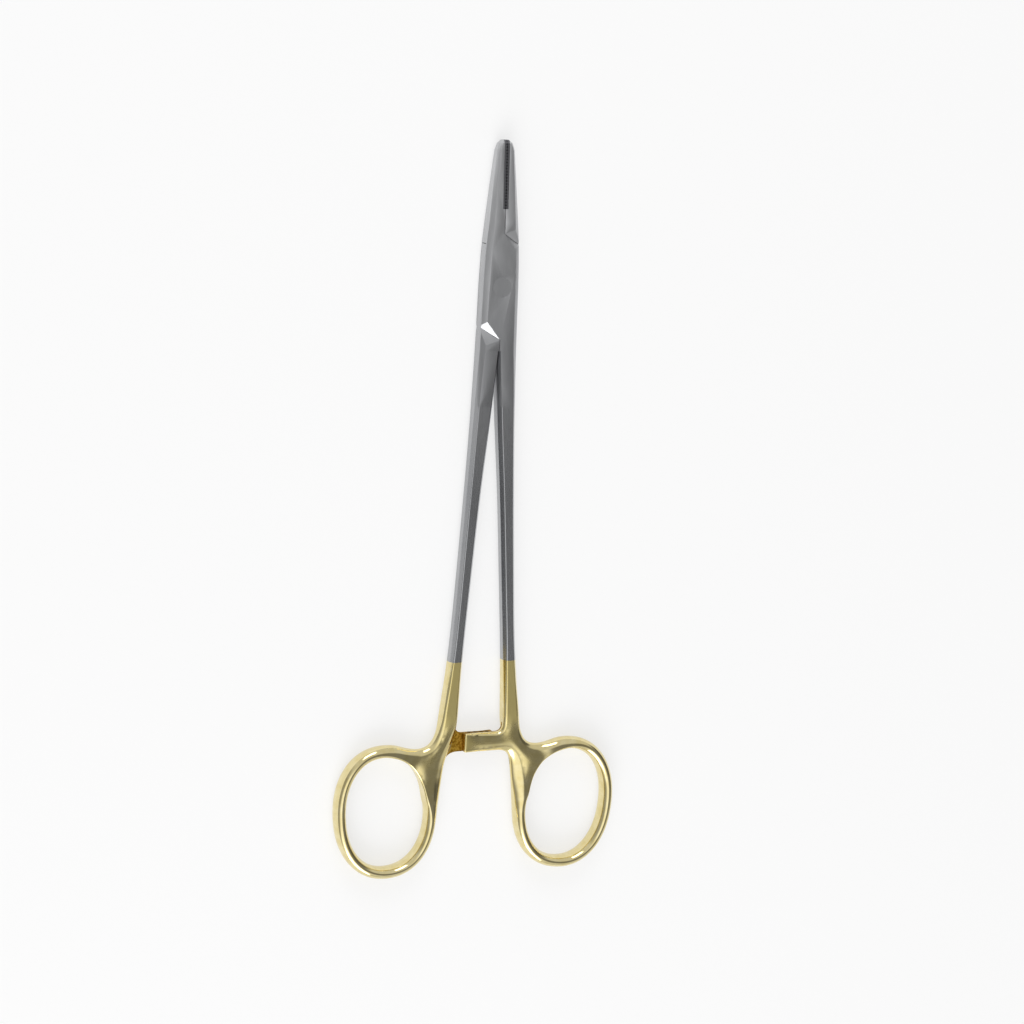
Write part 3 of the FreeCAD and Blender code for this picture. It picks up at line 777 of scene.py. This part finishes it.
def steel_finish(tree):
    """Colour, roughness and surface heights of the steel: a soft cloudiness and fine
    brushed lines. The box and jaws are blasted, and the shanks are smoother."""
    lines = noise(tree, place_in_mm(tree, (0.09, 3.0, 0.09)), 1.0, 3.0, 0.6)
    grain = noise(tree, place_in_mm(tree), 9.0, 2.0)
    cloud = noise(tree, place_in_mm(tree, (1.5, 6.0, 1.5)), 0.35, 3.0)
    y = along_y(tree)
    blasted = spread(tree, y, BLASTED_FROM_Y * MM, BLASTED_TO_Y * MM, 0, 1)
    toward_tip = spread(tree, y, PALER_FROM_Y * MM, PALER_TO_Y * MM, 0, 1)
    cloudy = spread(tree, cloud, *NOISE_RANGE, 0, 1)
    colour = colour_of(tree, toward_tip, colour_of(tree, cloudy, STEEL_DARK, STEEL_LIGHT),
                       colour_of(tree, cloudy, JAW_STEEL_DARK, JAW_STEEL_LIGHT))
    smooth_rough = spread(tree, lines, 0.25, 0.75, *SHANK_ROUGHNESS)
    blasted_rough = spread(tree, lines, 0.25, 0.75, *JAW_ROUGHNESS)
    rough = number_of(tree, blasted, smooth_rough, blasted_rough)
    return colour, rough, [(lines, BRUSHED_DEPTH), (grain, STEEL_GRAIN_DEPTH)]


def satin_steel():
    """The steel of the box, the jaws and the bare part of the shanks."""
    material, tree, shader = new_material("satin_steel")
    shader.inputs["Metallic"].default_value = 1.0
    colour, rough, heights = steel_finish(tree)
    tree.links.new(colour, shader.inputs["Base Color"])
    tree.links.new(rough, shader.inputs["Roughness"])
    bump(tree, shader, heights)
    return material


def plated_handle():
    """Steel above PLATING_Y and gold below it: satin where ground_flat is 1, and rough with a
    blotchy painted dark brown shade where the attribute for the ratchet's gap is 1."""
    material, tree, shader = new_material("plated_handle")
    shader.inputs["Metallic"].default_value = 1.0
    steel_colour, steel_rough, heights = steel_finish(tree)
    wander = noise(tree, place_in_mm(tree), 1.3, 2.0)
    edge = combined(tree, "ADD", combined(tree, "MULTIPLY", wander, PLATING_WANDER * MM), along_y(tree))
    gold = spread(tree, edge, (PLATING_Y - PLATING_HALF_BLUR) * MM,
                  (PLATING_Y + PLATING_HALF_BLUR) * MM, 1, 0)
    ground = add(tree, "ShaderNodeAttribute", attribute_name="ground_flat")
    cloud = noise(tree, place_in_mm(tree), 0.45, 3.0)
    gold_colour = colour_of(tree, spread(tree, cloud, *NOISE_RANGE, 0, 1), GOLD_DEEP, GOLD_PALE)
    gold_colour = colour_of(tree, ground.outputs["Fac"], gold_colour, GOLD_SATIN)
    # Where this attribute is 1 the gold is rough and painted a mottled dark brown: painted shade for the
    # ratchet's gap.
    rough_and_shade_mask = add(tree, "ShaderNodeAttribute", attribute_name="unpolished")
    blotch = spread(tree, noise(tree, place_in_mm(tree), 1.6, 4.0, 0.7), 0.42, 0.6, 0, 1)
    painted_shade_gold = colour_of(tree, blotch, GOLD_SHADED, GOLD_PAINTED_SHADE_PALE)
    gold_colour = colour_of(tree, rough_and_shade_mask.outputs["Fac"], gold_colour, painted_shade_gold)
    polished = spread(tree, cloud, *NOISE_RANGE, *POLISHED_ROUGHNESS)
    blasting = noise(tree, place_in_mm(tree), 6.0, 2.0)
    blasted = spread(tree, blasting, *NOISE_RANGE, *GROUND_ROUGHNESS)
    gold_rough = number_of(tree, ground.outputs["Fac"], polished, blasted)
    gold_rough = number_of(tree, rough_and_shade_mask.outputs["Fac"], gold_rough, UNPOLISHED_ROUGHNESS)
    tree.links.new(colour_of(tree, gold, steel_colour, gold_colour), shader.inputs["Base Color"])
    tree.links.new(number_of(tree, gold, steel_rough, gold_rough), shader.inputs["Roughness"])
    lines, grain = heights[0][0], heights[1][0]
    quiet = combined(tree, "MULTIPLY", lines, spread(tree, gold, 0, 1, 1, 0))
    blast = combined(tree, "MULTIPLY", grain, ground.outputs["Fac"])
    bump(tree, shader, [(quiet, BRUSHED_DEPTH), (blast, GOLD_GRAIN_DEPTH)])
    return material


steel = satin_steel()
plated = plated_handle()

# %% [markdown]
# ## The handles
# Both halves come off the same forging, so the second handle is the first one turned
# half a turn about the length of the instrument.


# %% making pieces
def piece_from(name, points, faces, material, body, nodes, slot, sharp=32, **values):
    """A smooth-shaded piece from points in millimetres, which rides on body. An edge that
    turns by more than sharp degrees stays sharp. values are one number per point."""
    mesh = bpy.data.meshes.new(name)
    mesh.from_pydata((np.asarray(points) * MM).tolist(), [], faces)
    for key, numbers in values.items():
        layer = mesh.attributes.new(key, "FLOAT", "POINT")
        layer.data.foreach_set("value", np.asarray(numbers, np.float32))
    tidy = bmesh.new()
    tidy.from_mesh(mesh)
    bmesh.ops.recalc_face_normals(tidy, faces=tidy.faces[:])
    volume = tidy.calc_volume(signed=True)
    open_edges = sum(1 for e in tidy.edges if not e.is_manifold)
    tidy.to_mesh(mesh)
    tidy.free()
    mesh.shade_smooth()
    mesh.set_sharp_from_angle(angle=math.radians(sharp))
    mesh.materials.append(material)
    obj = bpy.data.objects.new(name, mesh)
    bpy.context.scene.collection.objects.link(obj)
    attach(obj, body)
    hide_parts(*nodes)
    print(name, len(mesh.polygons), "faces", round(volume / MM**3, 1), "mm3, open edges", open_edges)
    return obj


# The last of these values is roughness and painted shade for the ratchet's gap.
handle_points, handle_faces, handle_flat, handle_rough_and_shade = handle_surface()
turned = handle_points * (-1, 1, -1) + (0, 0, 2 * MID_Z)
piece_from("box_side_handle", handle_points, handle_faces, plated, "box_side", ["female_half"],
           "forged_steel", ground_flat=handle_flat, unpolished=handle_rough_and_shade)
piece_from("through_side_handle", turned, handle_faces, plated, "through_side", ["male_half"],
           "forged_steel", ground_flat=handle_flat, unpolished=handle_rough_and_shade)

# %% [markdown]
# ## The jaws and the box joint
# The front of each half is flat-ground: every face is a plane that the working model
# already has. A copy of that node, welded and cut off where the handle starts, only
# needs its edges broken, as a stone breaks them on the real one.

# %% jaws and box
EDGE_BREAK = 0.12
BROKEN_FROM_DEGREES = 18
SAME_PLANE_DEGREES = 0.4
WELD_REACH = 0.002
RIM_REACH = 0.01


def ground_front(name, node, body):
    """The node's own faces in front of the cut. Every edge that turns by more than
    BROKEN_FROM_DEGREES is rounded, but not the rim of the cut, which meets the handle and
    stays sharp, so that its flat end isn't shaded into the faces beside it."""
    work = bmesh.new()
    work.from_mesh(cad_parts[node].data)
    bmesh.ops.remove_doubles(work, verts=work.verts[:], dist=WELD_REACH * MM)
    everything = work.verts[:] + work.edges[:] + work.faces[:]
    bmesh.ops.bisect_plane(work, geom=everything, dist=1e-7, plane_co=(0, CUT_Y * MM, 0),
                           plane_no=(0, -1, 0), clear_outer=True)
    rim = [e for e in work.edges if e.is_boundary]
    bmesh.ops.holes_fill(work, edges=rim, sides=0)
    bmesh.ops.dissolve_limit(work, angle_limit=math.radians(SAME_PLANE_DEGREES),
                             use_dissolve_boundaries=False, verts=work.verts[:],
                             edges=work.edges[:], delimit=set())
    bmesh.ops.recalc_face_normals(work, faces=work.faces[:])
    rim_y = (CUT_Y + RIM_REACH) * MM
    weight = work.edges.layers.float.new("bevel_weight_edge")
    for edge in work.edges:
        at_cut = all(v.co.y < rim_y for v in edge.verts)
        turning = edge.is_manifold and edge.calc_face_angle() > math.radians(BROKEN_FROM_DEGREES)
        edge[weight] = 1.0 if turning and not at_cut else 0.0
    mesh = bpy.data.meshes.new(name)
    work.to_mesh(mesh)
    print(name, len(work.faces), "faces, open edges", sum(1 for e in work.edges if not e.is_manifold))
    work.free()
    mesh.materials.append(steel)
    mesh.shade_smooth()
    for edge in mesh.edges:
        edge.use_edge_sharp = all(mesh.vertices[v].co.y < rim_y for v in edge.vertices)
    obj = bpy.data.objects.new(name, mesh)
    bpy.context.scene.collection.objects.link(obj)
    rounding = obj.modifiers.new("edges", "BEVEL")
    rounding.width = EDGE_BREAK * MM
    rounding.segments = 3
    rounding.limit_method = "WEIGHT"
    rounding.harden_normals = True
    rounding.use_clamp_overlap = True
    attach(obj, body)
    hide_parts(node)
    return obj


ground_front("box_side_front", "female_half", "box_side")
ground_front("through_side_front", "male_half", "through_side")
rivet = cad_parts["pivot_pin"]
rivet.data.materials.clear()
rivet.data.materials.append(steel)

# %% [markdown]
# ## The inserts
# The gripping faces are bars of hard, dark sintered carbide, brazed into the jaws. Two
# sets of grooves cross on each face, so that it grips a needle in any direction, and the
# grooves show at the edge of the face as a row of small dark notches.

# %% inserts
INSERT_START_Y = 20.6
INSERT_END_Y = 38.66
INSERT_FACE_X = 0.04
INSERT_BACK_X = 0.74
INSERT_SUNK = 0.03
GROOVE_PITCH = 0.8
GROOVE_DEPTH = 0.27
GROOVE_FLOOR_SHARE = 0.12
GROOVE_WALL_SLOPE = 1.9
JAW_Y = np.array([17.0, 26.5, 36.0, 37.8, 38.7])
JAW_HALF_THICK = np.array([3.0, 2.55, 2.05, 1.8, 1.25])
CARBIDE_DARK = (0.12, 0.12, 0.13)
CARBIDE_LIGHT = (0.19, 0.19, 0.20)
CARBIDE_ROUGHNESS = (0.35, 0.5)


def dark_carbide():
    """Dark grey sintered carbide with a fine grain."""
    material, tree, shader = new_material("dark_carbide")
    shader.inputs["Metallic"].default_value = 1.0
    grain = noise(tree, place_in_mm(tree), 14.0, 3.0)
    colour = colour_of(tree, spread(tree, grain, *NOISE_RANGE, 0, 1), CARBIDE_DARK, CARBIDE_LIGHT)
    tree.links.new(colour, shader.inputs["Base Color"])
    rough = spread(tree, grain, *NOISE_RANGE, *CARBIDE_ROUGHNESS)
    tree.links.new(rough, shader.inputs["Roughness"])
    bump(tree, shader, [(grain, 0.002)])
    return material


def grooved_bar():
    """A bar whose face has grooves at both diagonals. With w the distance from the edge,
    the face is sunk by GROOVE_DEPTH (1 - min(g(y + w), g(y - w))), where g is 0 at the
    middle of a groove and climbs to 1 on the flat between two grooves."""
    y = np.linspace(INSERT_START_Y, INSERT_END_Y, 250)
    reach = np.interp(y, JAW_Y, JAW_HALF_THICK) - INSERT_SUNK
    across = np.linspace(-1, 1, 75)
    z = reach[:, None] * across
    w = reach[:, None] - np.abs(z)

    def ridge(s):
        apart = np.abs(s / GROOVE_PITCH - np.round(s / GROOVE_PITCH)) * 2
        return np.clip((apart - GROOVE_FLOOR_SHARE) * GROOVE_WALL_SLOPE, 0, 1)

    sunk = GROOVE_DEPTH * (1 - np.minimum(ridge(y[:, None] + w), ridge(y[:, None] - w)))
    face = np.stack([INSERT_FACE_X + sunk, np.broadcast_to(y[:, None], z.shape), z + MID_Z], 2)
    back = np.stack([np.full((len(y), 2), INSERT_BACK_X), np.stack([y, y], 1), face[:, [-1, 0], 2]], 2)
    loops = np.concatenate([face, back], 1)
    count = loops.shape[1]
    a, b = np.arange(len(y) - 1), np.arange(count)
    here = a[:, None] * count + b
    beside = a[:, None] * count + (b + 1) % count
    faces = np.stack([here, beside, beside + count, here + count], -1).reshape(-1, 4).tolist()
    faces += [list(range(count)), list(range((len(y) - 1) * count, len(y) * count))]
    return loops.reshape(-1, 3), faces


carbide = dark_carbide()
bar_points, bar_faces = grooved_bar()
piece_from("through_side_insert", bar_points, bar_faces, carbide, "through_side", ["male_insert"],
           "hard_insert", sharp=28)
piece_from("box_side_insert", bar_points * (-1, 1, -1) + (0, 0, 2 * MID_Z), bar_faces, carbide,
           "box_side", ["female_insert"], "hard_insert", sharp=28)

# %% [markdown]
# ## Light
# The real one lies in a white light tent. Its cloth is brightest above and towards the
# rings, and dimmer on the left and right. The gap for the lens is dim too, and that gap is
# what the flat faces show, so they look darker than the rounded edges, which show the cloth.

# %% floor
FLOOR_HALF = 2.5
FLOOR_DROP = 0.02
PAPER_WHITE = 0.93
floor_mesh = bpy.data.meshes.new("floor")
floor_corners = [(x * FLOOR_HALF, y * FLOOR_HALF, -FLOOR_DROP * MM)
                 for x, y in ((-1, -1), (1, -1), (1, 1), (-1, 1))]
floor_mesh.from_pydata(floor_corners, [], [(0, 1, 2, 3)])
floor = bpy.data.objects.new("floor", floor_mesh)
bpy.context.scene.collection.objects.link(floor)
paper, tree, shader = new_material("white_paper")
shader.inputs["Base Color"].default_value = (PAPER_WHITE, PAPER_WHITE, PAPER_WHITE, 1)
shader.inputs["Roughness"].default_value = 0.7
floor_mesh.materials.append(paper)
# Part of the paper's white is its own where the camera or a mirror-like face looks at it,
# so that the background is white and the shadow on it stays soft.
PAPER_GLOW = 0.62
rays = add(tree, "ShaderNodeLightPath")
seen = combined(tree, "MAXIMUM", rays.outputs["Is Camera Ray"], rays.outputs["Is Glossy Ray"])
seen = combined(tree, "MAXIMUM", seen, rays.outputs["Is Transmission Ray"])
white = add(tree, "ShaderNodeEmission")
white.inputs["Color"].default_value = (1, 1, 1, 1)
blend = add(tree, "ShaderNodeMixShader")
tree.links.new(combined(tree, "MULTIPLY", seen, PAPER_GLOW), blend.inputs[0])
tree.links.new(shader.outputs[0], blend.inputs[1])
tree.links.new(white.outputs[0], blend.inputs[2])
tree.links.new(blend.outputs[0], tree.nodes["Material Output"].inputs["Surface"])

# %% tent and lamps
world = bpy.data.worlds.new("light_tent")
bpy.context.scene.world = world
world.use_nodes = True
tree = world.node_tree
background = tree.nodes["Background"]
where = add(tree, "ShaderNodeTexCoord")


def glow(axis, start, full, gain):
    """gain round the direction axis, fading to nothing where the cosine falls to start."""
    facing = add(tree, "ShaderNodeVectorMath", operation="DOT_PRODUCT")
    facing.inputs[1].default_value = Vector(axis).normalized()
    tree.links.new(where.outputs["Generated"], facing.inputs[0])
    level = add(tree, "ShaderNodeMapRange", interpolation_type="SMOOTHSTEP")
    level.inputs["From Min"].default_value = start
    level.inputs["From Max"].default_value = full
    level.inputs["To Max"].default_value = gain
    tree.links.new(facing.outputs["Value"], level.inputs["Value"])
    return level.outputs["Result"]


# Each part of the tent has its direction, the cosines where it starts and where it is
# full, and its gain. The bright parts add to the cloth, and the dim ones take a share away.
TENT_LEVEL = 0.68
BRIGHT_OVERHEAD = ((-0.35, -0.35, 0.87), 0.74, 0.94, 0.5)
BRIGHT_BY_RINGS = ((-0.41, -0.79, 0.46), 0.85, 0.97, 0.6)
DIM_LENS_GAP = ((0.55, -0.08, 0.83), 0.85, 0.945, 0.68)
DIM_RIGHT = ((0.95, 0.12, 0.22), 0.82, 0.95, 0.8)
DIM_LEFT = ((-0.98, -0.03, 0.18), 0.6, 0.95, 0.45)
tent = TENT_LEVEL
for part in (BRIGHT_OVERHEAD, BRIGHT_BY_RINGS):
    tent = combined(tree, "ADD", tent, glow(*part))
for part in (DIM_LENS_GAP, DIM_RIGHT, DIM_LEFT):
    tent = combined(tree, "MULTIPLY", tent, combined(tree, "SUBTRACT", 1.0, glow(*part)))
tree.links.new(tent, background.inputs["Strength"])
background.inputs["Color"].default_value = (1, 1, 1, 1)


def lamp(name, place, target, size, power):
    """A square soft lamp at place that faces target, both in metres."""
    data = bpy.data.lights.new(name, "AREA")
    data.size = size
    data.energy = power
    obj = bpy.data.objects.new(name, data)
    bpy.context.scene.collection.objects.link(obj)
    obj.location = place
    obj.rotation_euler = (Vector(target) - Vector(place)).to_track_quat("-Z", "Y").to_euler()
    return obj


lamp("foot_lamp", (-0.25, -0.9, 0.5), (0, -0.06, 0), 0.6, 3.2)
lamp("head_lamp", (-0.15, 0.85, 0.55), (0, -0.06, 0), 0.5, 2.6)
